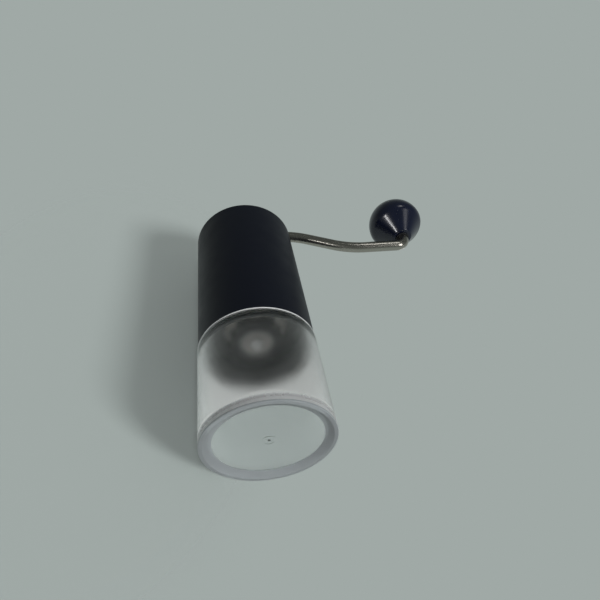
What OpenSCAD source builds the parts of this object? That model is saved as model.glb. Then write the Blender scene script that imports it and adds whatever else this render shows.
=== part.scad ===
// Hand crank coffee grinder: a slim housing with a conical ceramic burr set,
// a push-fit cup that the grinder stands on, a lift-out lid, and a stepped
// rod crank with a turning knob. Millimetres. The origin is the centre of
// the cup's foot, +Z is up the drive shaft and +X is towards the knob.

/* [Housing] */
// Outer diameter of the housing tube
housing_d = 52; // [51:1:58]
// Height of the housing's rim above the table
rim_z = 129.8; // [124:0.2:150]
// Wall of the housing tube
housing_wall = 2.2; // [2:0.1:2.5]
// Number of bearing arms, above the burrs and under the lid
arm_count = 3; // [3:1:4]

/* [Cup] */
// Height of the seam between the cup and the housing
seam_z = 47.2; // [44:0.2:60]
// How far the cup's shoulder stands out past the housing
cup_step = 0.3; // [0.1:0.1:0.5]
// Height of the neck that pushes up into the housing
neck_h = 8; // [6:0.5:9]
// Thickness of the cup's floor
floor_t = 2.6; // [2:0.1:4]
// Depth of the hollow under the cup
foot_hollow = 1.8; // [1:0.1:2.5]

/* [Crank] */
// Diameter of the crank rod
rod_d = 6; // [5:0.5:7]
// Distance from the shaft to the knob's axis
crank_r = 93.8; // [88:0.2:110]
// Height of the rod above the housing's rim where it leaves the hub
rod_lift = 6.4; // [6.4:0.2:12]
// How far the rod steps down on its way out
rod_drop = 15.5; // [12:0.5:16]
// Steepest slope of the step, in degrees
rod_slope = 26.5; // [24:0.5:28]
// Bend radius of the step
step_bend_r = 41; // [30:1:43]
// Distance from the shaft to the middle of the step
step_mid_r = 43.7; // [43:0.1:50]
// Bend radius under the knob
knob_bend_r = 6; // [5:0.5:8]

/* [Knob] */
// Radius of the knob's dome
knob_dome_r = 15.9; // [14:0.1:18]
// Radius of the flat at the narrow end of the knob
knob_neck_r = 5.6; // [5:0.1:6]
// Height of the dome's centre above the narrow end
knob_dome_h = 13.8; // [12:0.1:15]
// Half angle of the cone, in degrees
knob_cone_angle = 43; // [40:1:46]
// Radius that rounds the cone into the dome
knob_edge_r = 7; // [4:0.5:8]
// Gap between the rod's bend and the knob
knob_gap = 1.6; // [1.4:0.1:3]

/* [Burrs] */
// Room between the fixed ceramic burr and the housing's bore
burr_room = 4.8; // [4.7:0.1:6]
// Height of the fixed ceramic burr
burr_h = 18; // [16:0.5:18]
// Width of the fixed burr's lower face
burr_face = 5.4; // [5.2:0.1:6.5]
// Grinding gap at the finest setting
grind_gap = 0.4; // [0.3:0.05:0.8]
// How far the turning burr can be let down for a coarse grind
coarse_travel = 2; // [1:0.5:2]
// Number of grinding teeth
tooth_count = 24; // [16:8:32]

/* [Fits] */
// Radial clearance of a shaft that turns in a bush
run_fit = 0.05; // [0.03:0.01:0.1]
// Radial clearance of the cup's neck in the housing
neck_fit = 0.25; // [0.2:0.05:0.4]
// Gap between faces that part or slide
face_gap = 0.05; // [0.02:0.01:0.1]

/* [Hidden] */
smooth = 96;
fine = 48;
overlap = 0.05;

// Housing and cup
housing_r = housing_d / 2;
bore_r = housing_r - housing_wall;
cup_r = housing_r + cup_step;
neck_r = bore_r - neck_fit;
neck_in_r = neck_r - 1.85;
cup_in_r = cup_r - 2.2;
foot_edge_r = 0.5;
foot_flat = 1.1;
foot_flat_r = cup_r - 0.1 - foot_edge_r;
foot_slope_w = 3.2;
foot_r = foot_flat_r - foot_flat - foot_slope_w;
mark_r = 2.8;
mark_h = 0.4;
floor_z = foot_hollow + floor_t;
shoulder_drop = 4.4;
shoulder_z = seam_z - shoulder_drop;
seal_z = seam_z + neck_h / 2;
seal_h = 1.8;
seal_depth = 0.9;

// Burr set, counted up from the seam
burr_r = bore_r - burr_room;
cone_r = burr_r - burr_face - grind_gap;
burr_rise = 12.8;
burr_z = seam_z + burr_rise;
burr_top_z = burr_z + burr_h;
pocket_r = burr_r + 0.1;
pocket_wall = 2;
key_w = 3;
key_depth = 1.2;
key_fit = 0.1;
web_t = 2.6;
throat_r = burr_r - 3.5;
retainer_t = 2.6;
retainer_z = burr_z - retainer_t;
retainer_r = bore_r - 0.15;
retainer_in_r = burr_r - 4.4;
boss_r = 2;
boss_ring_r = bore_r - 2.4;
boss_h = 12;
screw_r = 1.25;
screw_head_r = 2.0;
screw_head_h = 1.3;
screw_len = 9;
waist_r = cone_r - 0.9;
waist_rise = 9;
waist_z = burr_z + waist_rise;
cone_drop = 2;
cone_bottom_z = burr_z - cone_drop;
cone_top_z = burr_top_z - 1;
cone_top_r = 7.2;

// Adjuster, counted down from the turning burr
plate_t = 0.5;
wheel_h = 5.4;
wheel_r = cone_r - 1.3;
wheel_top_z = cone_bottom_z - plate_t - face_gap;
wheel_z = wheel_top_z - wheel_h;
lobe_count = 6;
nut_flange_r = 6.9;
nut_flange_t = 1.2;
nut_af = 10;
nut_h = 4.4;
nut_drop = 1.4;
nut_z = wheel_z - nut_drop;

// Drive shaft
shaft_r = 4;
drive_af = 7;
thread_r = 3;
crank_af = 6.4;
hex_fit = 0.05;
collar_r = 5.6;
collar_rise = 5.4;
collar_z = burr_top_z + collar_rise;
collar_t = 1.2;
hex_drop = 1.4;
hex_start_z = cone_bottom_z - hex_drop;
shaft_end_z = nut_z - coarse_travel + 0.2;
spring_wire = 1;
spring_r = 5.1;
spring_turns = 5;
spring_recess_r = 6.1;
spring_recess = 4;
seat_t = 0.8;
spring_z = cone_top_z - spring_recess;
spring_top_z = collar_z - seat_t;
washer_t = 0.5;
thrust_z = collar_z + collar_t + face_gap;
lower_bush_z = thrust_z + washer_t + face_gap;
bush_flange_t = 1;
bush_r = 5.6;
bush_flange_r = 6.8;
lower_boss_r = 7.8;
lower_boss_z = lower_bush_z + bush_flange_t;
lower_boss_h = 7;
arm_w = 3.6;
arm_h = 4.4;
arm_z = lower_boss_z + 1;

// Burr carrier: pushed up into the tube until it meets a shoulder
carrier_r = bore_r - face_gap;
carrier_in_r = carrier_r - 1.4;
carrier_top_z = arm_z + arm_h + 0.4;
funnel_h = 5;

// Upper bearing, counted down from the rim
bridge_drop = 16.4;
bridge_z = rim_z - bridge_drop;
bridge_h = 8;
bridge_ring_h = 4;
bridge_ring_t = 1.5;
bridge_boss_r = 7.4;
ledge_h = 1.6;
ledge_w = 0.9;
snap_w = 4;
upper_bush_top_z = bridge_z + bridge_h + bush_flange_t;
top_washer_z = upper_bush_top_z + face_gap;
circlip_z = top_washer_z + washer_t + face_gap;
circlip_t = 0.8;
groove_r = 3.3;

// Lid
lid_flange_r = housing_r - 1.2;
lid_flange_t = 1.6;
lid_z = rim_z + face_gap;
lid_top_z = lid_z + lid_flange_t;
lid_plug_r = bore_r - 0.2;
lid_plug_h = 5;
lid_wall = 1.5;
grommet_r = 6.2;
grommet_lip_r = 7.6;
grommet_bore_r = shaft_r + 0.3;
grip_count = 24;

// Crank
rod_r = rod_d / 2;
rod_lap = 0.2;
rod_top_z = rim_z + rod_lift;
shoulder_top_z = lid_top_z + 0.25;
hub_z = shoulder_top_z + face_gap;
hub_r = 8;
hub_top_z = rod_top_z + 5.2;
hex_top_z = rod_top_z + 3;
sleeve_len = 15;
sleeve_wall = 1.3;
rod_start = crank_af / 2 + 2;
cap_seat_r = 5;
cap_seat_z = hub_top_z - 1.4;
rod_low_z = rod_top_z - rod_drop;
step_len = (rod_drop - 2 * step_bend_r * (1 - cos(rod_slope))) / sin(rod_slope);
step_half = step_bend_r * sin(rod_slope) + step_len * cos(rod_slope) / 2;

// Knob
knob_z = rod_low_z + knob_bend_r + knob_gap;
sleeve_r = 4.2;
dome_z = knob_z + knob_dome_h;
knob_h = dome_z - knob_z + knob_dome_r;
cap_r = 6.4;
cap_t = 2.4;
cap_edge_z = dome_z + sqrt(pow(knob_dome_r, 2) - pow(cap_r, 2));
axle_end_z = cap_edge_z - cap_t - 4;
axle_collar_r = 3.9;
axle_collar_t = 0.9;

// A tube from z0 up
module ring(r_out, r_in, h, z0 = 0) {
    translate([0, 0, z0])
        difference() {
            cylinder(r = r_out, h = h, $fn = smooth);
            translate([0, 0, -1])
                cylinder(r = r_in, h = h + 2, $fn = smooth);
        }
}

// A plain round bar from z0 up
module bar(r, h, z0 = 0) {
    translate([0, 0, z0])
        cylinder(r = r, h = h, $fn = smooth);
}

// A hexagonal bar, given across its flats
module hex_bar(af, h, z0 = 0) {
    translate([0, 0, z0])
        rotate([0, 0, 30])
            cylinder(r = af / 2 / cos(30), h = h, $fn = 6);
}

// Copies spaced evenly around the shaft
module around(count, start = 0) {
    for (i = [0 : count - 1])
        rotate([0, 0, start + i * 360 / count])
            children();
}

// Radial arms from a boss out to a ring
module arms(count, r_in, r_out, w, h, z0, start) {
    around(count, start)
        translate([r_in, -w / 2, z0])
            cube([r_out - r_in, w, h]);
}

module housing() {
    color([0.06, 0.07, 0.09])
        union() {
            // Tube with a ledge under the upper bridge and a shoulder over the carrier
            rotate_extrude($fn = smooth)
                polygon([[bore_r, seam_z],
                         [housing_r - 0.3, seam_z],
                         [housing_r, seam_z + 0.3],
                         [housing_r, rim_z - 0.5],
                         [housing_r - 0.5, rim_z],
                         [bore_r, rim_z],
                         [bore_r, bridge_z],
                         [bore_r - ledge_w, bridge_z],
                         [bore_r, bridge_z - ledge_h],
                         [bore_r, carrier_top_z + ledge_h],
                         [bore_r - ledge_w, carrier_top_z],
                         [bore_r, carrier_top_z]]);
            // Snap ribs above the upper bridge
            around(3, 90)
                translate([bore_r - 0.35, -snap_w / 2, bridge_z + bridge_ring_h + 0.05])
                    cube([0.8, snap_w, 0.8]);
        }
}

module burr_carrier() {
    color([0.07, 0.07, 0.08])
        difference() {
            union() {
                // Sleeve, funnel, web and burr pocket in one turned outline
                rotate_extrude($fn = smooth)
                    polygon([[carrier_r, burr_top_z - 0.4],
                             [carrier_r, carrier_top_z],
                             [carrier_in_r, carrier_top_z],
                             [carrier_in_r, burr_top_z + web_t + funnel_h],
                             [throat_r, burr_top_z + web_t],
                             [throat_r, burr_top_z],
                             [pocket_r, burr_top_z],
                             [pocket_r, burr_z],
                             [pocket_r + pocket_wall, burr_z],
                             [pocket_r + pocket_wall, burr_top_z - 0.4]]);
                // Bosses for the retaining ring's screws
                around(3)
                    translate([boss_ring_r, 0, 0])
                        bar(boss_r, boss_h, burr_z);
                // Keys that hold the fixed burr
                around(3, 60)
                    translate([pocket_r - key_depth, -key_w / 2, burr_z])
                        cube([key_depth + 0.6, key_w, burr_h]);
                // Lower bearing boss and arms
                ring(lower_boss_r, bush_r, lower_boss_h, lower_boss_z);
                arms(arm_count, lower_boss_r - 0.6, carrier_in_r + 0.7, arm_w, arm_h, arm_z, 30);
            }
            around(3)
                translate([boss_ring_r, 0, 0])
                    bar(screw_r, screw_len - retainer_t + 2, burr_z - 1);
        }
}

module upper_bridge() {
    color([0.08, 0.08, 0.09])
        difference() {
            union() {
                ring(bore_r - 0.05, bore_r - bridge_ring_t, bridge_ring_h, bridge_z);
                bar(bridge_boss_r, bridge_h, bridge_z);
                arms(arm_count, bridge_boss_r - 0.6, bore_r - 0.6, arm_w, bridge_ring_h,
                     bridge_z, 30);
            }
            bar(bush_r, bridge_h + 2, bridge_z - 1);
        }
}

// A flanged bush; the flange is at the bottom unless flipped
module bush(z0, h, flange_z) {
    difference() {
        union() {
            bar(bush_r, h, z0);
            bar(bush_flange_r, bush_flange_t, flange_z);
        }
        bar(shaft_r + run_fit, h + 4, z0 - 2);
    }
}

module upper_bush() {
    color([0.86, 0.85, 0.8])
        bush(bridge_z, bridge_h + bush_flange_t, bridge_z + bridge_h);
}

module lower_bush() {
    color([0.86, 0.85, 0.8])
        bush(lower_bush_z, lower_boss_h + bush_flange_t, lower_bush_z);
}

module thrust_washer() {
    color([0.75, 0.75, 0.76])
        ring(bush_flange_r - 0.4, shaft_r + run_fit, washer_t, thrust_z);
}

module top_washer() {
    color([0.75, 0.75, 0.76])
        ring(bush_flange_r - 0.4, shaft_r + run_fit, washer_t, top_washer_z);
}

module circlip() {
    color([0.3, 0.3, 0.32])
        difference() {
            ring(shaft_r + 1.6, groove_r, circlip_t, circlip_z);
            translate([groove_r - 1.2, -1.6, circlip_z - 1])
                cube([5, 3.2, circlip_t + 2]);
        }
}

module shaft() {
    color([0.72, 0.72, 0.72])
        difference() {
            union() {
                bar(thread_r, hex_start_z - shaft_end_z + 1, shaft_end_z);
                hex_bar(drive_af, collar_z - hex_start_z + 0.2, hex_start_z);
                bar(collar_r, collar_t, collar_z);
                bar(shaft_r, shoulder_top_z - collar_z, collar_z);
                hex_bar(crank_af, hex_top_z - shoulder_top_z + 0.2, shoulder_top_z - 0.2);
            }
            ring(shaft_r + 2, groove_r, circlip_t + 0.04, circlip_z - 0.02);
        }
}

module spring_seat() {
    color([0.75, 0.75, 0.76])
        ring(collar_r, drive_af / 2 / cos(30) + run_fit, seat_t, spring_top_z);
}

// A helical spring: rings of points along the coil, joined into walls
module spring() {
    rise = (spring_top_z - spring_z - spring_wire - 2 * face_gap) / spring_turns;
    steps = 16;
    sides = 8;
    count = spring_turns * steps;
    points = [for (i = [0 : count]) for (j = [0 : sides - 1])
        let (turn = 360 * i / steps,
             side = 360 * j / sides,
             r = spring_r + spring_wire / 2 * cos(side),
             z = spring_z + face_gap + spring_wire / 2 + rise * i / steps
                 + spring_wire / 2 * sin(side))
        [r * cos(turn), r * sin(turn), z]];
    walls = [for (i = [0 : count - 1]) for (j = [0 : sides - 1])
        let (a = i * sides + j,
             b = i * sides + (j + 1) % sides)
        [a, b, b + sides, a + sides]];
    ends = [[for (j = [sides - 1 : -1 : 0]) j],
            [for (j = [0 : sides - 1]) count * sides + j]];
    color([0.6, 0.6, 0.62])
        polyhedron(points = points, faces = concat(walls, ends), convexity = 10);
}

module outer_burr() {
    flare_r = cone_r + grind_gap;
    color([0.93, 0.92, 0.9])
        difference() {
            rotate_extrude($fn = smooth)
                polygon([[flare_r, burr_z],
                         [burr_r - 0.4, burr_z],
                         [burr_r, burr_z + 0.4],
                         [burr_r, burr_top_z],
                         [throat_r - 0.6, burr_top_z],
                         [waist_r, waist_z + 3],
                         [waist_r, waist_z]]);
            around(3, 60)
                translate([pocket_r - key_depth - key_fit, -key_w / 2 - key_fit, burr_z - 1])
                    cube([key_depth + 2, key_w + 2 * key_fit, burr_h + 2]);
            // Feed grooves that widen towards the throat
            around(tooth_count / 2)
                translate([waist_r - 0.4, 0, waist_z + 4])
                    rotate([-18, 28, 0])
                        cube([2, 1.6, 14], center = true);
        }
}

module burr_retainer() {
    color([0.07, 0.07, 0.08])
        difference() {
            ring(retainer_r, retainer_in_r, retainer_t, retainer_z);
            around(3)
                translate([boss_ring_r, 0, 0]) {
                    bar(screw_r + 0.15, retainer_t + 2, retainer_z - 1);
                    bar(screw_head_r + 0.12, screw_head_h + 1, retainer_z - 1);
                }
        }
}

// One pan head screw up through the retaining ring
module retainer_screw(turn) {
    color([0.7, 0.7, 0.72])
        rotate([0, 0, turn])
            translate([boss_ring_r, 0, 0])
                difference() {
                    union() {
                        bar(screw_head_r, screw_head_h, retainer_z);
                        bar(screw_r, screw_len, retainer_z);
                    }
                    for (slot = [0, 90])
                        rotate([0, 0, slot])
                            translate([-1.1, -0.25, retainer_z - 0.2])
                                cube([2.2, 0.5, 0.9]);
                }
}

module inner_burr() {
    color([0.93, 0.92, 0.9])
        difference() {
            rotate_extrude($fn = smooth)
                polygon([[0, cone_bottom_z],
                         [cone_r - 0.5, cone_bottom_z],
                         [cone_r, cone_bottom_z + 0.5],
                         [cone_r, burr_z + 0.2],
                         [waist_r - grind_gap - 0.1, waist_z],
                         [cone_top_r, cone_top_z],
                         [0, cone_top_z]]);
            hex_bar(drive_af + 2 * hex_fit, cone_top_z - cone_bottom_z + 2, cone_bottom_z - 1);
            bar(spring_recess_r, spring_recess + 1, spring_z);
            // Coarse flutes that draw the beans down
            around(tooth_count / 4)
                translate([cone_top_r + 2.9, 0, waist_z + 5.6])
                    rotate([24, -28, 0])
                        cube([2.4, 2.6, 15], center = true);
            // Fine grinding teeth
            around(tooth_count)
                translate([cone_r + 0.1, 0, burr_z + 3])
                    rotate([16, -7, 0])
                        cube([1.2, 1, 14], center = true);
        }
}

module click_plate() {
    color([0.72, 0.72, 0.74])
        difference() {
            union() {
                bar(8.6, plate_t, cone_bottom_z - plate_t);
                // Two bent ears that ride over the wheel's detents
                for (side = [0, 180])
                    rotate([0, 0, side])
                        translate([8, -1.5, cone_bottom_z - plate_t])
                            cube([2.2, 3, plate_t]);
            }
            hex_bar(drive_af + 2 * hex_fit, 3, cone_bottom_z - 2);
        }
}

module adjuster_wheel() {
    color([0.06, 0.06, 0.07])
        difference() {
            union() {
                bar(wheel_r, wheel_h, wheel_z);
                bar(nut_flange_r + 1.1, wheel_z - nut_z + overlap, nut_z);
            }
            around(lobe_count, 30)
                translate([wheel_r + 2.4, 0, 0])
                    bar(4.2, wheel_h + 2, wheel_z - 1);
            hex_bar(nut_af, nut_h + overlap, nut_z + nut_flange_t - overlap);
            bar(nut_flange_r, nut_flange_t + 1, nut_z - 1);
            bar(drive_af / 2 / cos(30) + 0.5, 10, nut_z + nut_flange_t + 1);
        }
}

module adjuster_nut() {
    color([0.66, 0.65, 0.64])
        difference() {
            union() {
                bar(nut_flange_r, nut_flange_t, nut_z);
                hex_bar(nut_af, nut_h + overlap, nut_z + nut_flange_t - overlap);
            }
            bar(thread_r + run_fit, 12, nut_z - 1);
        }
}

module cup() {
    color([0.8, 0.83, 0.84, 0.5])
        difference() {
            rotate_extrude($fn = smooth)
                polygon([[0, foot_hollow],
                         [foot_r, foot_hollow],
                         [foot_flat_r - foot_flat, 0],
                         [foot_flat_r, 0],
                         [foot_flat_r + foot_edge_r * 0.5, foot_edge_r * 0.13],
                         [foot_flat_r + foot_edge_r * 0.87, foot_edge_r * 0.5],
                         [foot_flat_r + foot_edge_r, foot_edge_r],
                         [cup_r, seam_z - 0.2],
                         [cup_r - 0.2, seam_z],
                         [neck_r, seam_z],
                         [neck_r, seam_z + neck_h - 0.5],
                         [neck_r - 0.5, seam_z + neck_h],
                         [neck_in_r + 0.3, seam_z + neck_h],
                         [neck_in_r, seam_z + neck_h - 0.3],
                         [neck_in_r, seam_z - 0.5],
                         [cup_in_r, shoulder_z],
                         [cup_in_r - 0.1, floor_z + 1.4],
                         [cup_in_r - 0.5, floor_z + 0.4],
                         [cup_in_r - 1.5, floor_z],
                         [0, floor_z]]);
            ring(neck_r + 1, neck_r - seal_depth, seal_h, seal_z - seal_h / 2);
            // Moulding mark in the middle of the foot
            ring(mark_r, mark_r - 0.5, mark_h + overlap, foot_hollow - mark_h);
            bar(mark_r / 4, 2 * mark_h + overlap, foot_hollow - 2 * mark_h);
        }
}

module cup_seal() {
    color([0.75, 0.76, 0.76])
        ring(bore_r - face_gap, neck_r - seal_depth, seal_h - 0.1, seal_z - seal_h / 2 + 0.05);
}

module lid() {
    color([0.07, 0.08, 0.09])
        difference() {
            union() {
                bar(lid_flange_r, lid_flange_t, lid_z);
                ring(lid_plug_r, lid_plug_r - lid_wall, lid_plug_h + overlap, lid_z - lid_plug_h);
                bar(grommet_lip_r + 1.4, 3 + overlap, lid_z - 3);
            }
            bar(grommet_r, 8, lid_z - 5);
            bar(grommet_lip_r, 1.2, lid_top_z - 0.8);
            // Finger grips round the flange
            around(grip_count)
                translate([lid_flange_r + 0.5, 0, 0])
                    bar(0.9, lid_flange_t + 2, lid_z);
        }
}

module lid_grommet() {
    color([0.1, 0.1, 0.11])
        difference() {
            union() {
                bar(grommet_r, lid_flange_t + 3, lid_z - 3);
                bar(grommet_lip_r, 0.8, lid_top_z - 0.8);
            }
            bar(grommet_bore_r, 10, lid_z - 5);
        }
}

module crank_hub() {
    color([0.7, 0.7, 0.69])
        difference() {
            union() {
                rotate_extrude($fn = smooth)
                    polygon([[0, hub_z],
                             [hub_r - 0.6, hub_z],
                             [hub_r, hub_z + 0.6],
                             [hub_r, hub_top_z - 1],
                             [hub_r - 1, hub_top_z],
                             [0, hub_top_z]]);
                translate([0, 0, rod_top_z])
                    rotate([0, 90, 0])
                        bar(rod_r + sleeve_wall, sleeve_len);
            }
            hex_bar(crank_af + 2 * hex_fit, hex_top_z + 0.2 - hub_z + 1, hub_z - 1);
            bar(cap_seat_r, 10, cap_seat_z);
            translate([rod_start, 0, rod_top_z])
                rotate([0, 90, 0])
                    bar(rod_r, sleeve_len + 2);
        }
}

module hub_cap() {
    color([0.7, 0.7, 0.69])
        rotate_extrude($fn = smooth)
            polygon([[0, cap_seat_z],
                     [cap_seat_r, cap_seat_z],
                     [cap_seat_r, hub_top_z + 0.2],
                     [cap_seat_r - 0.8, hub_top_z + 0.8],
                     [cap_seat_r * 0.5, hub_top_z + 1.25],
                     [0, hub_top_z + 1.4]]);
}

// One bend of the rod in the XZ plane, turned about [x, z]; it is a hair
// thinner than the straight runs, which lap over its ends
module rod_bend(x, z, bend_r, from, sweep) {
    translate([x, 0, z])
        rotate([90, 0, 0])
            rotate([0, 0, from])
                rotate_extrude(angle = sweep, $fn = smooth)
                    translate([bend_r, 0])
                        circle(r = rod_r - 0.01, $fn = fine);
}

// One straight run of the rod in the XZ plane
module rod_run(x, z, length, slope) {
    translate([x, 0, z])
        rotate([0, 90 + slope, 0])
            translate([0, 0, -rod_lap])
                cylinder(r = rod_r, h = length + 2 * rod_lap, $fn = fine);
}

module crank_rod() {
    step_start = step_mid_r - step_half;
    step_end = step_mid_r + step_half;
    run_x = step_start + step_bend_r * sin(rod_slope);
    run_z = rod_top_z - step_bend_r * (1 - cos(rod_slope));
    color([0.72, 0.71, 0.69])
        difference() {
            union() {
                rod_run(rod_start + rod_lap, rod_top_z, step_start - rod_start - rod_lap, 0);
                rod_bend(step_start, rod_top_z - step_bend_r, step_bend_r,
                         90 - rod_slope, rod_slope);
                rod_run(run_x, run_z, step_len, rod_slope);
                rod_bend(step_end, rod_low_z + step_bend_r, step_bend_r,
                         270 - rod_slope, rod_slope);
                rod_run(step_end, rod_low_z, crank_r - knob_bend_r - step_end, 0);
                rod_bend(crank_r - knob_bend_r, rod_low_z + knob_bend_r, knob_bend_r, 270, 90);
                translate([crank_r, 0, 0]) {
                    bar(rod_r, axle_end_z - rod_low_z - knob_bend_r + rod_lap,
                        rod_low_z + knob_bend_r - rod_lap);
                    bar(axle_collar_r, axle_collar_t, knob_z - face_gap - axle_collar_t);
                }
            }
            translate([crank_r, 0, 0])
                bar(screw_r, 8, axle_end_z - 7);
        }
}

module knob() {
    // Centre of the arc that rounds the cone into the dome: it lies knob_edge_r
    // inside the cone's side and inside the dome
    side = [sin(knob_cone_angle), cos(knob_cone_angle)];
    base = [knob_neck_r - knob_edge_r * side[1], knob_edge_r * side[0] - knob_dome_h];
    half = base * side;
    reach = -half + sqrt(half * half - base * base + pow(knob_dome_r - knob_edge_r, 2));
    edge = base + reach * side;
    edge_end = atan2(edge[1], edge[0]);
    edge_steps = 8;
    dome_steps = 14;
    color([0.05, 0.06, 0.09])
        translate([crank_r, 0, 0])
            difference() {
                rotate_extrude($fn = smooth)
                    polygon(concat([[0, knob_z], [knob_neck_r, knob_z]],
                                   [for (i = [0 : edge_steps - 1])
                                       let (a = -knob_cone_angle
                                                + (edge_end + knob_cone_angle) * i / edge_steps)
                                       [edge[0] + knob_edge_r * cos(a),
                                        dome_z + edge[1] + knob_edge_r * sin(a)]],
                                   [for (i = [0 : dome_steps])
                                       let (a = edge_end + (90 - edge_end) * i / dome_steps)
                                       [knob_dome_r * cos(a), dome_z + knob_dome_r * sin(a)]]));
                bar(sleeve_r, knob_h + 2, knob_z - 1);
                bar(cap_r, knob_h, axle_end_z - 0.2);
            }
}

module knob_sleeve() {
    color([0.78, 0.62, 0.3])
        translate([crank_r, 0, 0])
            ring(sleeve_r, rod_r + run_fit, axle_end_z - 0.2 - knob_z, knob_z);
}

module knob_washer() {
    color([0.72, 0.72, 0.73])
        translate([crank_r, 0, 0])
            ring(5.8, screw_r, 0.8, axle_end_z);
}

module knob_screw() {
    color([0.7, 0.7, 0.72])
        translate([crank_r, 0, 0])
            difference() {
                union() {
                    bar(screw_r, 7, axle_end_z - 6);
                    bar(3, 1.6, axle_end_z + 0.8);
                }
                for (slot = [0, 90])
                    rotate([0, 0, slot])
                        translate([-1.6, -0.35, axle_end_z + 1.4])
                            cube([3.2, 0.7, 2]);
            }
}

module knob_cap() {
    color([0.05, 0.06, 0.09])
        translate([crank_r, 0, 0])
            rotate_extrude($fn = smooth)
                polygon(concat([[0, cap_edge_z - cap_t], [cap_r, cap_edge_z - cap_t]],
                               [for (i = [0 : 6])
                                   let (r = cap_r * (6 - i) / 6)
                                   [r, dome_z + sqrt(pow(knob_dome_r, 2) - pow(r, 2))]]));
}

housing();
burr_carrier();
upper_bridge();
upper_bush();
lower_bush();
thrust_washer();
top_washer();
circlip();
shaft();
spring_seat();
spring();
outer_burr();
burr_retainer();
retainer_screw(0);  // retainer_screw_1
retainer_screw(120);  // retainer_screw_2
retainer_screw(240);  // retainer_screw_3
inner_burr();
click_plate();
adjuster_wheel();
adjuster_nut();
cup();
cup_seal();
lid();
lid_grommet();
crank_hub();
crank_rod();
hub_cap();
knob();
knob_sleeve();
knob_washer();
knob_screw();
knob_cap();
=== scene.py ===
"""The looks of a hand crank coffee grinder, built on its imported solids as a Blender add-on.

Sizes inside the functions are millimetres in the frame of the solids: the origin is
the centre of the cup's foot, +Z is up the drive shaft and +X is towards the knob.
"""

import math

import bmesh
import bpy
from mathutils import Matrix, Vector


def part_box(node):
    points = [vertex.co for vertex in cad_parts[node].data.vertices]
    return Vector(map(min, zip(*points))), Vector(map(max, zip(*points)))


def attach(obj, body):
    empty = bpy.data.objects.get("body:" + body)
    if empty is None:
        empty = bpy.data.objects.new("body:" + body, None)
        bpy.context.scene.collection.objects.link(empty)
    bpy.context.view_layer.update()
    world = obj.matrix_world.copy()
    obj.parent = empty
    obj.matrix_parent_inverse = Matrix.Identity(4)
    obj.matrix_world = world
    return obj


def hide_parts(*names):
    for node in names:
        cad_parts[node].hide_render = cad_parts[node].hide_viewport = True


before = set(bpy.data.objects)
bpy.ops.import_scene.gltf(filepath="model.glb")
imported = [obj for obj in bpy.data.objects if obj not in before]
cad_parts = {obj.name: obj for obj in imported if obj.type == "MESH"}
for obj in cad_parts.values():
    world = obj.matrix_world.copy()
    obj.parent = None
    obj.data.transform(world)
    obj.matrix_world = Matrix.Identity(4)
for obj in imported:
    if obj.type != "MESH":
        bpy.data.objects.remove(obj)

bl_info = {
    "name": "Hand crank coffee grinder",
    "version": (1, 0, 0),
    "blender": (4, 5, 0),
    "location": "3D View > Sidebar > Grinder",
    "description": "Builds the pieces, finishes and studio of a hand crank coffee grinder",
    "category": "Object",
}

MM = 0.001
TURN = 2 * math.pi

# Sizes, in millimetres and degrees, that no box of a solid gives
WALL = 2.2
FOOT_HOLLOW = 1.8
CUP_FLOOR = 4.4
CUP_SHOULDER = 4.4
NECK_WALL = 1.85
SEAL_GROOVE = 0.9
ROD_RADIUS = 3
ROD_START = 5.2
ROD_BELOW_HUB = 5.2
STEP_MIDDLE = 43.7
STEP_BEND = 41
STEP_SLOPE = 26.5
KNOB_BEND = 6
KNOB_CONE = 43
KNOB_EDGE = 7
KNOB_NECK = 5.6
KNOB_CAP = 6.4
KNOB_BORE = 3.3
CRANK_REACH = (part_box("knob")[0].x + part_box("knob")[1].x) / 2 / MM
AXLE_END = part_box("knob_washer")[0].z / MM


def low(node):
    """Lowest corner of a solid, in millimetres."""
    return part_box(node)[0] / MM


def high(node):
    """Highest corner of a solid, in millimetres."""
    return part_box(node)[1] / MM


def linear(colour):
    """A hex sRGB colour as linear red, green, blue and alpha; a linear colour stays as it is."""
    if not isinstance(colour, str):
        return list(colour)
    parts = [int(colour[i:i + 2], 16) / 255 for i in (1, 3, 5)]
    return [c / 12.92 if c <= 0.04045 else ((c + 0.055) / 1.055) ** 2.4 for c in parts] + [1.0]


# ---------------------------------------------------------------- finishes

def add(tree, kind, inputs=None, **settings):
    """Adds a node with its settings; an input takes a number, a colour or a node's output."""
    made = tree.nodes.new("ShaderNode" + kind)
    for name, value in settings.items():
        setattr(made, name, value)
    for name, value in (inputs or {}).items():
        if isinstance(value, bpy.types.NodeSocket):
            tree.links.new(value, made.inputs[name])
        else:
            made.inputs[name].default_value = value
    return made


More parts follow.
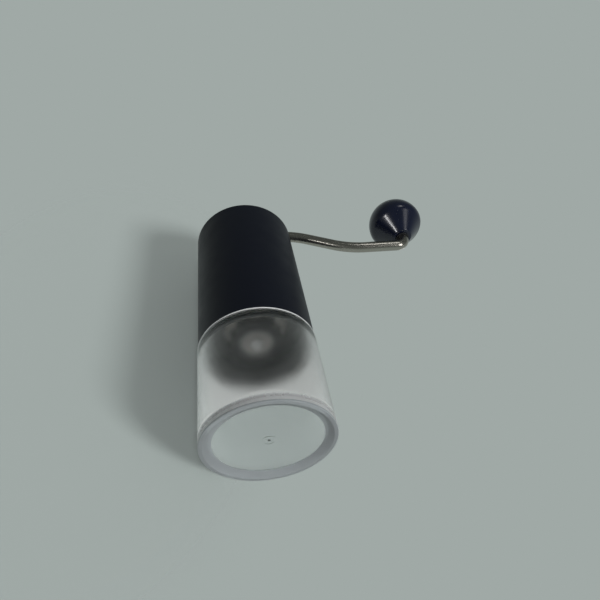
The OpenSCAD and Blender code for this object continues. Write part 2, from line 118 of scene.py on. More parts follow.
class Finish:
    """A material with one Principled shader, whose sockets are named with underscores."""

    def __init__(self, name, **sockets):
        self.material = bpy.data.materials.new(name)
        self.material.use_nodes = True
        self.tree = self.material.node_tree
        self.tree.nodes.clear()
        set_to = {key.replace("_", " "): value for key, value in sockets.items()}
        self.shader = add(self.tree, "BsdfPrincipled", set_to)
        self.output = add(self.tree, "OutputMaterial", {"Surface": self.shader.outputs[0]})
        self.place = add(self.tree, "TexCoord").outputs["Object"]

    def grain(self, size, stretch):
        """Noise whose features are size millimetres across, drawn out by stretch."""
        scaled = add(self.tree, "Mapping", {"Vector": self.place,
                                            "Scale": [1 / s for s in stretch]})
        return add(self.tree, "TexNoise", {"Vector": scaled.outputs[0], "Scale": 1 / (size * MM),
                                           "Detail": 3}).outputs[0]

    def vary(self, size, dark, light, rough, stretch=(1, 1, 1)):
        """Lets grain move the colour between two tones and the roughness between two values."""
        noise = self.grain(size, stretch)
        tone = add(self.tree, "Mix", {"Factor": noise}, data_type="RGBA")
        tone.inputs[6].default_value = linear(dark)
        tone.inputs[7].default_value = linear(light)
        spread = add(self.tree, "MapRange", {"Value": noise, "From Min": 0.3, "From Max": 0.7,
                                             "To Min": rough[0], "To Max": rough[1]})
        self.tree.links.new(tone.outputs[2], self.shader.inputs["Base Color"])
        self.tree.links.new(spread.outputs[0], self.shader.inputs["Roughness"])

    def emboss(self, size, height, stretch=(1, 1, 1)):
        """Bump from grain, both in millimetres."""
        bump = add(self.tree, "Bump", {"Height": self.grain(size, stretch), "Strength": 0.6,
                                       "Distance": height * MM})
        self.tree.links.new(bump.outputs[0], self.shader.inputs["Normal"])


def soft_touch_lacquer(colours):
    """Rubberised lacquer sprayed on ABS: deep matt black with a cool bloom at grazing angles."""
    made = Finish("soft_touch_lacquer", IOR=1.5, Specular_IOR_Level=0.25)
    made.vary(9, colours.housing, colours.housing_bloom, (0.46, 0.54))
    # The sprayed drops are about 0.1 mm; drawn at 0.25 mm, or they wouldn't show
    made.emboss(0.25, 0.01)
    return made.material


def moulded_abs(name="moulded_abs", dark="#101114", light="#17181B"):
    """ABS moulded in a spark-eroded tool: even matt black with a fine grain."""
    made = Finish(name, IOR=1.54, Specular_IOR_Level=0.35)
    made.vary(4, dark, light, (0.42, 0.56))
    # Spark erosion leaves pits of 0.1 mm; drawn at 0.3 mm, or they wouldn't show
    made.emboss(0.3, 0.02)
    return made.material


def frosted_san():
    """SAN moulded in a blasted tool: clear plastic whose grained skin blurs what is inside."""
    made = Finish("frosted_san", IOR=1.57, Transmission_Weight=1.0)
    made.vary(6, "#F9F5F6", "#FFFBFC", (0.14, 0.17))
    # The blasting grit is about 0.15 mm; drawn at 0.6 mm, or it wouldn't show
    made.emboss(0.6, 0.003)
    return made.material


def satin_san():
    """The same SAN outside, where the tool is only satin: nearly clear, with faint flow marks."""
    made = Finish("satin_san", IOR=1.57, Transmission_Weight=1.0)
    made.vary(5, "#F6F2F3", "#FDF9FA", (0.17, 0.2))
    made.emboss(12, 0.003)
    return made.material


def painted_light_and_shade_san(name, share, dark="#ECEFF0", light="#F6F8F8", rough=(0.4, 0.5)):
    """A copy of the cup's SAN with its own tone and milkiness, for painted light and shade on
    bands of the cup: pale milky copies paint highlights, grey-tinted copies paint shade.

    Share says how much of the light passes through.
    """
    made = Finish(name, IOR=1.57, Transmission_Weight=share)
    made.vary(5, dark, light, rough)
    return made.material


def drawn_stainless():
    """Stainless rod, drawn and then tumbled: soft long streaks and a satin shine."""
    made = Finish("drawn_stainless", Metallic=1.0, Anisotropic=0.3)
    # The die leaves lines of 0.05 mm; drawn at 0.35 and 0.5 mm, or they wouldn't show
    made.vary(0.35, "#A39F97", "#BAB6AD", (0.22, 0.28), (40, 1, 1))
    made.emboss(0.5, 0.003, (30, 1, 1))
    return made.material


def turned_steel(name="turned_steel", dark="#A9A9A8", light="#C9C9C8", rough=(0.22, 0.34)):
    """Steel turned on a lathe: bright, with fine rings that follow the tool."""
    made = Finish(name, Metallic=1.0)
    # The tool moves on by 0.1 mm a turn; drawn at 0.4 and 0.35 mm, or the rings wouldn't show
    made.vary(0.4, dark, light, rough, (6, 6, 1))
    made.emboss(0.35, 0.008, (8, 8, 1))
    return made.material


def phenolic_gloss(colours):
    """Phenolic moulded and polished: piano black with a bluish depth under a clear gloss."""
    made = Finish("phenolic_gloss", IOR=1.55)
    made.vary(5, colours.knob, colours.knob_depth, (0.2, 0.24))
    made.emboss(4, 0.002)
    return made.material


def sintered_alumina():
    """Alumina pressed and sintered: warm white ceramic with a dry, even bite."""
    made = Finish("sintered_alumina", IOR=1.76, Subsurface_Weight=0.05)
    made.vary(2.5, "#DAD6CB", "#E9E6DE", (0.42, 0.55))
    # The pressed granules are 0.1 mm; drawn at 0.3 mm, or they wouldn't show
    made.emboss(0.3, 0.02)
    return made.material


def acetal():
    """Natural acetal, turned: milky white and waxy."""
    made = Finish("acetal", IOR=1.48, Subsurface_Weight=0.1)
    made.vary(3, "#DBD9CF", "#E6E4DB", (0.3, 0.4))
    return made.material


def silicone(name="silicone", dark="#B9BCBC", light="#C6C9C9"):
    """Silicone rubber, moulded: soft, dull and a little dusty."""
    made = Finish(name, IOR=1.41)
    made.vary(2, dark, light, (0.55, 0.7))
    # The tool's matt is 0.1 mm; drawn at 0.4 mm, or it wouldn't show
    made.emboss(0.4, 0.02)
    return made.material


def turned_brass():
    """Free-cutting brass, turned: yellow metal, slightly browned by air."""
    made = Finish("turned_brass", Metallic=1.0)
    # The tool moves on by 0.1 mm a turn; drawn at 0.3 mm, or the rings wouldn't show
    made.vary(1.2, "#B08A45", "#CDA75C", (0.24, 0.36), (4, 4, 1))
    made.emboss(0.3, 0.008, (8, 8, 1))
    return made.material


# ---------------------------------------------------------------- shapes

class Shape:
    """Points and faces of one piece, in millimetres, before they become a mesh."""

    def __init__(self):
        self.points = []
        self.faces = []
        self.finishes = []

    def strip(self, rings, closed=True, finish_at=None):
        """Joins rings of points; a ring of one point closes the end as a fan."""
        starts = []
        for ring in rings:
            starts.append(len(self.points))
            self.points.extend(ring)
        pairs = list(zip(range(len(rings)), range(1, len(rings))))
        if closed:
            pairs.append((len(rings) - 1, 0))
        for a, b in pairs:
            count = max(len(rings[a]), len(rings[b]))
            for i in range(count):
                j = (i + 1) % count
                corners = []
                for ring, k in ((a, i), (a, j), (b, j), (b, i)):
                    point = starts[ring] + (k if len(rings[ring]) > 1 else 0)
                    if point not in corners:
                        corners.append(point)
                if len(corners) > 2:
                    self.faces.append(corners)
                    self.finishes.append(finish_at(a) if finish_at else 0)

    def turn(self, outline, centre=(0, 0), sides=128, closed=True, wave=None, finish_at=None):
        """Turns an outline of (radius, height) points about an upright axis.

        Wave, where there is one, gives the radius at an angle from a radius and a height.
        """
        x, y = centre
        rings = []
        for r, z in outline:
            if r < 1e-6:
                rings.append([(x, y, z)])
                continue
            ring = []
            for i in range(sides):
                angle = TURN * i / sides
                radius = wave(angle, r, z) if wave else r
                ring.append((x + radius * math.cos(angle), y + radius * math.sin(angle), z))
            rings.append(ring)
        self.strip(rings, closed, finish_at)

    def sweep(self, path, radius, sides=32, ends=0.3):
        """Draws a round bar along a path, its two ends eased."""
        path = [Vector(p) for p in path]
        ahead = [(b - a).normalized() for a, b in zip(path, path[1:])]
        ease = [(ends * (1 - math.cos(t)), radius - ends + ends * math.sin(t))
                for t in (0, math.pi / 6, math.pi / 3, math.pi / 2)]
        stations = [(path[0] + ahead[0] * d, r, ahead[0]) for d, r in ease]
        stations += [(path[i], radius, (ahead[i - 1] + ahead[i]).normalized())
                     for i in range(1, len(path) - 1)]
        stations += [(path[-1] - ahead[-1] * d, r, ahead[-1]) for d, r in reversed(ease)]
        across = ahead[0].orthogonal().normalized()
        rings = [[tuple(path[0])]]
        for point, r, along in stations:
            across = (across - along * across.dot(along)).normalized()
            up = along.cross(across)
            ring = []
            for k in range(sides):
                angle = TURN * k / sides
                ring.append(tuple(point + across * r * math.cos(angle) + up * r * math.sin(angle)))
            rings.append(ring)
        rings.append([tuple(path[-1])])
        self.strip(rings, closed=False)

    def block(self, outline, z0, z1, ease=0.3):
        """A flat-sided block with the plan outline given, its upper and lower edges eased."""
        middle = Vector((sum(p[0] for p in outline), sum(p[1] for p in outline))) / len(outline)
        levels = [(z0, ease), (z0 + ease * 0.3, ease * 0.3), (z0 + ease, 0),
                  (z1 - ease, 0), (z1 - ease * 0.3, ease * 0.3), (z1, ease)]
        rings = [[(middle.x, middle.y, z0)]]
        for z, inset in levels:
            ring = []
            for p in outline:
                away = Vector(p) - middle
                ring.append(tuple(middle + away * (1 - inset / max(away.length, 1e-6))) + (z,))
            rings.append(ring)
        rings.append([(middle.x, middle.y, z1)])
        self.strip(rings, closed=False)

    def build(self, name, materials, sharp=35):
        """Makes the mesh object, in metres, smooth but for edges sharper than an angle."""
        mesh = bpy.data.meshes.new(name)
        mesh.from_pydata([[c * MM for c in p] for p in self.points], [], self.faces)
        mesh.validate()
        for material in materials:
            mesh.materials.append(material)
        if len(materials) > 1:
            mesh.polygons.foreach_set("material_index", self.finishes)
        made = bpy.data.objects.new(name, mesh)
        bpy.context.scene.collection.objects.link(made)
        bpy.context.view_layer.objects.active = made
        outward(mesh)
        mesh.shade_smooth()
        mesh.set_sharp_from_angle(angle=math.radians(sharp))
        return made


def outward(mesh):
    """Turns every face of a closed mesh outwards."""
    shell = bmesh.new()
    shell.from_mesh(mesh)
    bmesh.ops.recalc_face_normals(shell, faces=shell.faces)
    shell.to_mesh(mesh)
    shell.free()


def rounded(corners, closed=True, hold=0.15):
    """An outline from (radius, height, rounding) corners: each becomes an arc, with a point
    held close to each end of it so that long faces stay straight in the light."""
    points = []
    count = len(corners)
    for i, (x, y, rounding) in enumerate(corners):
        here = Vector((x, y))
        if not rounding or (not closed and i in (0, count - 1)):
            points.append(tuple(here))
            continue
        before = Vector(corners[i - 1][:2]) - here
        after = Vector(corners[(i + 1) % count][:2]) - here
        room = 0.49 * min(before.length, after.length)
        before.normalize()
        after.normalize()
        half = before.angle(after) / 2
        reach = min(rounding / math.tan(half), room)
        radius = reach * math.tan(half)
        middle = here + (before + after).normalized() * (radius / math.sin(half))
        start, end = here + before * reach - middle, here + after * reach - middle
        sweep = start.angle_signed(end)
        steps = max(3, math.ceil(abs(sweep) / math.radians(18)))
        straight = max(0.0, min(hold, room * 0.9 - reach))
        points.append(tuple(middle + start + before * straight))
        for k in range(steps + 1):
            angle = math.atan2(start.y, start.x) - sweep * k / steps
            points.append(tuple(middle + radius * Vector((math.cos(angle), math.sin(angle)))))
        points.append(tuple(middle + end + after * straight))
    apart = [points[0]]
    for p in points[1:]:
        if math.dist(p, apart[-1]) > 1e-4:
            apart.append(p)
    if closed and math.dist(apart[0], apart[-1]) < 1e-4:
        apart.pop()
    return apart


def arc(centre, radius, start, sweep, steps):
    """Points of an arc in the XZ plane, angles in degrees from +X towards +Z."""
    angles = [math.radians(start + sweep * k / steps) for k in range(steps + 1)]
    return [(centre[0] + radius * math.cos(a), 0.0, centre[1] + radius * math.sin(a))
            for a in angles]


def sector(turn, wide, inner, outer, steps=6):
    """Plan outline of a piece of a ring, its middle at an angle and its width in degrees."""
    angles = [math.radians(turn + wide * (k / steps - 0.5)) for k in range(steps + 1)]
    return ([(outer * math.cos(a), outer * math.sin(a)) for a in angles]
            + [(inner * math.cos(a), inner * math.sin(a)) for a in reversed(angles)])


def hexagon(at, flat, blunt=0.12):
    """A wave that turns the radius called at into a hexagon with that distance to its flats."""
    def wave(angle, r, z):
        if abs(r - at) > 1e-6:
            return r
        off = (angle / TURN * 6 + 0.5) % 1 - 0.5
        return min(flat / math.cos(off * TURN / 6), flat / math.cos(TURN / 12) - blunt)
    return wave


def saw(t):
    """A tooth that rises slowly and falls fast, from 0 to 1."""
    t %= 1
    return t / 0.85 if t < 0.85 else (1 - t) / 0.15


def smooth(depth, ease):
    """Eases a depth that starts at nothing, so that the cut has no hard edge."""
    return math.sqrt(depth * depth + ease * ease) - ease if depth > 0 else 0.0


def fit(made, body, slot, *nodes):
    """Lets a made piece move with its body and stand for the solids named."""
    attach(made, body)
    if nodes:
        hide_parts(*nodes)
    return made


def dress(material, *nodes):
    """Gives solids that stay as they are their finish."""
    for node in nodes:
        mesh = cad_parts[node].data
        mesh.materials.clear()
        mesh.materials.append(material)


# ---------------------------------------------------------------- sizes and colours

def colour(name, description, default):
    """A colour that a user can change, from its hex value."""
    return bpy.props.FloatVectorProperty(
        name=name, description=description, subtype="COLOR", size=4, default=linear(default))


class GrinderStudio(bpy.types.PropertyGroup):
    """Camera, light and floor."""

    place: bpy.props.FloatVectorProperty(
        name="Camera place", description="Where the camera stands",
        subtype="TRANSLATION", unit="LENGTH", default=(-0.010941, -0.15646, -0.09658))
    turn: bpy.props.FloatVectorProperty(
        name="Camera turn", description="How the camera is turned",
        subtype="EULER", unit="ROTATION",
        default=(math.radians(138.415), math.radians(9.106), math.radians(-2.481)))
    lens: bpy.props.FloatProperty(
        name="Lens", description="Focal length on a 36 mm sensor, in millimetres",
        default=28.511, min=10, max=200)
    paper: colour("Paper", "Colour of the backdrop and the surroundings", "#A0A9A6")
    floor: colour("Floor", "Colour of the floor under the cup's foot", "#AFB9B6")
    daylight: bpy.props.FloatProperty(
        name="Surrounding light", description="Strength of the even light from all round",
        default=0.3, min=0)
    key: bpy.props.FloatProperty(
        name="Key light", description="Strength of the light from the right", default=2.2, min=0)


class GrinderSizes(bpy.types.PropertyGroup):
    """Sizes that can be changed without moving a joint."""

    cup_rounding: bpy.props.FloatProperty(
        name="Cup rounding", description="Radius round the edge of the cup's foot",
        unit="LENGTH", default=0.5 * MM, min=0.2 * MM, max=0.8 * MM)
    rim_rounding: bpy.props.FloatProperty(
        name="Rim rounding", description="Radius round the housing's rim",
        unit="LENGTH", default=0.5 * MM, min=0.1 * MM, max=0.8 * MM)
    lid_grips: bpy.props.IntProperty(
        name="Lid grips", description="Number of finger grips round the lid",
        default=24, min=12, max=30)


class GrinderColours(bpy.types.PropertyGroup):
    """Colours of the pieces that give the grinder its look; each finish varies between two."""

    housing: colour("Housing", "Dark tone of the housing's lacquer", "#080B15")
    housing_bloom: colour("Housing bloom", "Light tone of the housing's lacquer", "#0B0F19")
    knob: colour("Knob", "Dark tone of the knob", "#070C1B")
    knob_depth: colour("Knob depth", "Light tone of the knob", "#0C1226")


# ---------------------------------------------------------------- studio

def sun(name, strength, source, width, unseen):
    """A soft lamp far away, from the direction of source and width degrees wide.

    Clear plastic would show each lamp as a hot spot, so rays that pass through it don't find
    lamps; unseen names one more kind of ray that doesn't find this one.
    """
    data = bpy.data.lights.new(name, "SUN")
    data.energy = strength
    data.angle = math.radians(width)
    made = bpy.data.objects.new(name, data)
    bpy.context.scene.collection.objects.link(made)
    made.rotation_mode = "QUATERNION"
    made.rotation_quaternion = Vector(source).to_track_quat("Z", "Y")
    made.visible_transmission = False
    if unseen:
        setattr(made, "visible_" + unseen, False)


def floor_sheet(name, corners, colour, centre, spread, bounce):
    """A paper sheet that shows from its front only and fades out at its edge.

    It is whole at centre and gone spread millimetres away, and it lights the grinder if bounce
    is 1.
    """
    mesh = bpy.data.meshes.new(name)
    mesh.from_pydata([[c * MM for c in p] for p in corners], [], [[0, 1, 2, 3]])
    paper = Finish(name + "_paper", IOR=1.3, Specular_IOR_Level=0.0)
    paper.vary(60, colour, colour, (0.85, 0.95))
    # The paper's tooth is about 0.3 mm; drawn at 1.5 mm, or it wouldn't show
    paper.emboss(1.5, 0.01)
    tree = paper.tree
    near = add(tree, "Mapping", {"Vector": paper.place, "Scale": [1 / (s * MM) for s in spread],
                                 "Location": [-c / s for c, s in zip(centre, spread)]})
    ball = add(tree, "TexGradient", {"Vector": near.outputs[0]}, gradient_type="SPHERICAL")
    shown = add(tree, "MapRange", {"Value": ball.outputs[1], "From Max": 0.4},
                interpolation_type="SMOOTHERSTEP")
    behind = add(tree, "NewGeometry").outputs["Backfacing"]
    front = add(tree, "Math", {0: shown.outputs[0], 1: behind},
                operation="SUBTRACT", use_clamp=True)
    rays = add(tree, "LightPath").outputs
    bounced = add(tree, "Math", {0: rays["Is Diffuse Ray"], 1: bounce}, operation="MULTIPLY")
    looked = add(tree, "Math", {0: rays["Is Camera Ray"], 1: bounced.outputs[0]},
                 operation="MAXIMUM")
    seen = add(tree, "Math", {0: front.outputs[0], 1: looked.outputs[0]}, operation="MULTIPLY")
    clear = add(tree, "BsdfTransparent")
    blend = add(tree, "MixShader", {0: seen.outputs[0], 1: clear.outputs[0],
                                    2: paper.shader.outputs[0]})
    tree.links.new(blend.outputs[0], paper.output.inputs["Surface"])
    mesh.materials.append(paper.material)
    made = bpy.data.objects.new(name, mesh)
    bpy.context.scene.collection.objects.link(made)


def surroundings(paper, strength):
    """Even light from all round, and the paper wherever the world itself is seen.

    Polished things find the paper behind the grinder and a dim room in front of it. Clear
    plastic finds the paper everywhere, brighter behind and to either side.
    """
    world = bpy.data.worlds.new("studio")
    world.use_nodes = True
    tree = world.node_tree
    tree.nodes.clear()
    rays = add(tree, "LightPath").outputs
    sky = add(tree, "TexCoord").outputs["Generated"]
    towards = add(tree, "SeparateXYZ", {"Vector": sky}).outputs
    room = add(tree, "MapRange", {"Value": towards["Y"], "From Min": -0.5, "From Max": 0.4,
                                  "To Min": 0.28, "To Max": 1.0}, interpolation_type="SMOOTHSTEP")
    off = add(tree, "Math", {0: towards["X"], 1: 0.1}, operation="SUBTRACT")
    aside = add(tree, "Math", {0: off.outputs[0]}, operation="ABSOLUTE")
    sides = add(tree, "MapRange", {"Value": aside.outputs[0], "From Min": 0.0, "From Max": 0.55,
                                   "To Min": 0.9, "To Max": 1.3}, interpolation_type="SMOOTHSTEP")
    sheet = add(tree, "MapRange", {"Value": towards["Y"], "From Min": -0.3, "From Max": 0.5,
                                   "To Min": 1.0, "To Max": 1.56}, interpolation_type="SMOOTHSTEP")
    glow = add(tree, "Math", {0: sheet.outputs[0], 1: sides.outputs[0]}, operation="MULTIPLY")
    plastic = add(tree, "Math", {0: rays["Is Transmission Ray"], 1: glow.outputs[0]},
                  operation="MULTIPLY")
    direct = add(tree, "Math", {0: rays["Is Camera Ray"], 1: plastic.outputs[0]},
                 operation="MAXIMUM")
    level = add(tree, "Math", {0: direct.outputs[0], 1: room.outputs[0]}, operation="MAXIMUM")
    through = add(tree, "Math", {0: rays["Is Camera Ray"], 1: rays["Is Transmission Ray"]},
                  operation="MAXIMUM")
    seen = add(tree, "Math", {0: through.outputs[0], 1: rays["Is Glossy Ray"]},
               operation="MAXIMUM")
    light = add(tree, "Background", {"Color": (1, 1, 1, 1), "Strength": strength})
    shown = add(tree, "Background", {"Color": paper, "Strength": level.outputs[0]})
    both = add(tree, "MixShader", {0: seen.outputs[0], 1: light.outputs[0], 2: shown.outputs[0]})
    add(tree, "OutputWorld", {"Surface": both.outputs[0]})
    bpy.context.scene.world = world


class GRINDER_OT_studio(bpy.types.Operator):
    """Sets up the camera, the lamps, the surroundings and the floor"""

    bl_idname = "grinder.studio"
    bl_label = "Studio"

    def execute(self, context):
        scene, studio = context.scene, context.scene.grinder_studio
        data = bpy.data.cameras.new("camera")
        data.lens, data.sensor_width = studio.lens, 36
        data.clip_start, data.clip_end = 0.01, 10
        camera = bpy.data.objects.new("camera", data)
        scene.collection.objects.link(camera)
        camera.location, camera.rotation_euler = studio.place, studio.turn
        scene.camera = camera
        scene.view_settings.view_transform = "Standard"
        surroundings(studio.paper, studio.daylight)

        for name, strength, source, width, unseen in (
                ("key", studio.key, (0.612, -0.501, -0.612), 13, "glossy"),
                ("key_shine", 0.5, (0.612, -0.501, -0.612), 16, "diffuse"),
                ("window", 0.4, (-0.64, -0.53, -0.55), 6, "diffuse"),
                ("front_shine", 0.14, (0.3, -0.87, 0.12), 14, "diffuse"),
                ("back_shine", 0.07, (0.5, 0.75, 0.4), 14, "diffuse"),
                ("softbox", 0.1, (0.58, -0.72, -0.38), 16, None),
                ("front_fill", 0.98, (0.06, -0.86, -0.5), 12, "glossy"),
                ("back_fill", 0.9, (-0.6, 0.7, 0.5), 40, "glossy"),
                ("overhead", 1.15, (0.1, 0.1, 1.0), 40, "glossy")):
            sun(name, strength, source, width, unseen)

        # The backdrop touches the housing's back, leans a little to the side, and ends to the
        # right of the housing, where the crank turns
        back, lean = high("cup").x + 0.05, 0.0965
        corners = [(-180, -85), (30, -85), (30, 265), (-180, 265)]
        floor_sheet("tabletop", [(x, back + lean * x, z) for x, z in corners],
                    studio.paper, (-76, back, 95), (104, 120, 175), 1)
        corners = [(-260, -260), (300, -260), (300, 260), (-260, 260)]
        floor_sheet("standing_floor", [(x, y, -0.1) for x, y in corners],
                    studio.floor, (20, 0, 0), (240, 240, 100), 0)
        return {"FINISHED"}


# ---------------------------------------------------------------- pieces

class GRINDER_OT_housing(bpy.types.Operator):
    """Turns the housing tube with eased rims, a ledge, a shoulder and three snap ribs"""

    bl_idname = "grinder.housing"
    bl_label = "Housing tube"

    def execute(self, context):
        base, rim, outer = low("housing").z, high("housing").z, high("housing").x
        bore, ledge, bevel = outer - WALL, 0.9, 1.6
        bridge, carrier = low("upper_bridge").z, high("burr_carrier").z
        tube = Shape()
        tube.turn(rounded([
            (bore, base, 0.2), (outer, base, 0.3),
            (outer, rim, context.scene.grinder_sizes.rim_rounding / MM), (bore, rim, 0.3),
            (bore, bridge, 0), (bore - ledge, bridge, 0.1), (bore, bridge - bevel, 0),
            (bore, carrier + bevel, 0), (bore - ledge, carrier, 0.1), (bore, carrier, 0)]),
            sides=192)
        snap = bridge + 4.05
        for turn in (90, 210, 330):
            tube.block(sector(turn, 9.6, bore - 0.35, bore + 0.45), snap, snap + 0.8, 0.15)
        lacquer = soft_touch_lacquer(context.scene.grinder_colours)
        fit(tube.build("housing_tube", [lacquer]), "body", "housing_black", "housing")
        return {"FINISHED"}


class GRINDER_OT_cup(bpy.types.Operator):
    """Turns the cup, its dished foot, its neck and the seal in the neck's groove"""

    bl_idname = "grinder.cup"
    bl_label = "Cup and seal"

    def execute(self, context):
        outer, seam, top = high("cup").x, low("housing").z, high("cup").z
        seal_low, seal_high, bore = low("cup_seal").z, high("cup_seal").z, high("cup_seal").x
        neck, foot = bore - 0.2, outer - 0.1
        groove, inner = neck - SEAL_GROOVE, neck - NECK_WALL
        groove_low, groove_high = seal_low - 0.05, seal_high + 0.05
        # Two milky copies of the SAN paint light on two strips up the foot's edge, up to these
        # heights
        strip_low, strip_middle, strip_high = 0.8, 2.1, 3.5
        outline = rounded([
            # the gate mark, the disc and its sloping ring
            (0, FOOT_HOLLOW - 0.5, 0), (0.4, FOOT_HOLLOW - 0.45, 0.15), (0.6, FOOT_HOLLOW, 0.1),
            (2.2, FOOT_HOLLOW, 0.1), (2.4, FOOT_HOLLOW - 0.06, 0.05),
            (2.7, FOOT_HOLLOW - 0.06, 0.05), (2.9, FOOT_HOLLOW, 0.1),
            (foot - 4.8, FOOT_HOLLOW, 0.5), (foot - 1.6, 0, 0.4),
            # the wall outside, up to the seam
            (foot, 0, context.scene.grinder_sizes.cup_rounding / MM),
            (foot + 0.002, strip_low, 0), (foot + 0.004, strip_middle, 0),
            (foot + 0.008, strip_high, 0), (outer - 0.01, seam - 0.9, 0.02), (outer, seam, 0.25),
            # the neck with its groove
            (neck, seam, 0.1), (neck, groove_low, 0.05), (groove, groove_low, 0.05),
            (groove, groove_high, 0.05), (neck, groove_high, 0.05), (neck, top, 0.5),
            # inside
            (inner, top, 0.4), (inner, seam - 0.5, 1.5), (outer - 2.2, seam - CUP_SHOULDER, 1.5),
            (outer - 2.3, CUP_FLOOR, 1.5), (0, CUP_FLOOR, 0)], closed=False)
        skins = [
            frosted_san(),
            satin_san(),
            # painted highlight: the thick shoulder gathers the light of the whole wall, and a pale
            # milky copy of the SAN paints it as a thin pale line
            painted_light_and_shade_san("seam_painted_highlight", 0.25, "#D6DADA", "#E4E7E6", (0.25, 0.35)),
            # painted shade: a darker grey, half milky copy of the SAN makes the foot's sloping
            # ring look darker
            painted_light_and_shade_san("foot_ring_painted_shade", 0.4, "#92989B", "#9CA2A5", (0.3, 0.4)),
            # painted shade: a grey-tinted copy of the SAN darkens everything seen through the neck
            painted_light_and_shade_san("neck_painted_shade", 0.98, "#A0A3A4", "#AAADAE"),
            # painted highlight: a pale milky copy of the SAN makes the lower strip a bright line
            painted_light_and_shade_san("foot_strip_painted_highlight", 0.7),
            # painted shade: a grey-green tinted copy of the SAN darkens what shows through the
            # disc
            painted_light_and_shade_san("foot_disc_painted_shade", 1.0, "#BAC4C3", "#C2CCCB", (0.13, 0.16)),
            # painted light: a milky grey copy of the SAN lightens the upper strip of the foot's
            # edge
            painted_light_and_shade_san("foot_upper_strip_painted_light", 0.65, "#D2D3D4", "#DCDDDE", (0.25, 0.3))]
        # Inside and outside are the SAN's two real skins; the other finishes are copies that paint
        # light and shade on their bands
        inside, outside, edge, ring, throat, strip, disc, upper_strip = range(len(skins))

        def skin(k):
            """The finish of the face that starts at a point of the outline."""
            (r0, z0), (r1, z1) = outline[k], outline[min(k + 1, len(outline) - 1)]
            r, z = (r0 + r1) / 2, (z0 + z1) / 2
            if r > neck and seam - 0.9 < z <= seam:
                return edge
            if z > seam + 1:
                return throat
            if r > foot - 0.06 and strip_low < z < strip_high:
                return strip if z < strip_middle else upper_strip
            if z < FOOT_HOLLOW + 0.05:
                return disc if r < foot - 5 else ring
            return outside if r > outer - 1 else inside

        cup = Shape()
        cup.turn(outline, sides=192, closed=False, finish_at=skin)
        body = fit(cup.build("cup_body", skins), "cup", "cup_frosted", "cup")
        # The floor goes down with the cup, so that a cup that is taken off still stands on it
        bpy.data.objects["standing_floor"].parent = body

        seal = Shape()
        seal.turn(rounded([
            (groove, seal_low, 0.15), (neck, seal_low, 0.1),
            (bore, (seal_low + seal_high) / 2, 0.5), (neck, seal_high, 0.1),
            (groove, seal_high, 0.15)]), sides=128)
        fit(seal.build("neck_seal", [silicone()]), "cup", "seal_rubber", "cup_seal")
        return {"FINISHED"}


class GRINDER_OT_lid(bpy.types.Operator):
    """Moulds the lid with its finger grips and the grommet that the shaft turns in"""

    bl_idname = "grinder.lid"
    bl_label = "Lid and grommet"

    def execute(self, context):
        outer, top, foot = high("lid").x, high("lid").z, low("lid").z
        rim, plug = high("housing").z + 0.05, high("housing").x - WALL - 0.2
        wall, boss = plug - 1.5, low("lid_grommet").z
        body, lip = 6.2, (high("lid_grommet").x - low("lid_grommet").x) / 2
        grip_count, bite = context.scene.grinder_sizes.lid_grips, 0.9

        def grips(angle, r, z):
            """Shallow scallops round the flange."""
            if r < outer - 0.7 or z < rim - 0.01:
                return r
            off = (angle / TURN * grip_count + 0.5) % 1 - 0.5
            across = (outer + 0.5) * math.sin(off * TURN / grip_count)
            if abs(across) >= bite:
                return r
            ahead = (outer + 0.5) * math.cos(off * TURN / grip_count)
            return r - max(0.0, outer - (ahead - math.sqrt(bite ** 2 - across * across)))

        flange = Shape()
        flange.turn(rounded([
            (body, boss, 0.1), (lip + 1.4, boss, 0.4), (lip + 1.4, rim, 0.6), (wall, rim, 0.6),
            (wall, foot, 0.4), (plug, foot, 0.5), (plug, rim, 0.1), (outer, rim, 0.3),
            (outer, top, 0.5), (outer - 3.2, top, 0.4), (outer - 3.6, top - 0.25, 0.3),
            (lip + 2.6, top - 0.25, 0.3), (lip + 2.2, top, 0.3), (lip, top, 0.15),
            (lip, top - 0.8, 0), (body, top - 0.8, 0)]), sides=grip_count * 18, wave=grips)
        fit(flange.build("lid_moulding", [moulded_abs()]), "lid", "lid_black", "lid")

        bush, hole = Shape(), 4.3
        bush.turn(rounded([
            (hole, boss, 0.3), (body, boss, 0.15), (body, top - 0.8, 0.05),
            (lip, top - 0.8, 0.1), (lip, top, 0.35), (hole, top, 0.5)]), sides=96)
        rubber = silicone("black_rubber", "#141415", "#1C1C1E")
        fit(bush.build("lid_bush", [rubber]), "lid", "bush_white", "lid_grommet")
        return {"FINISHED"}


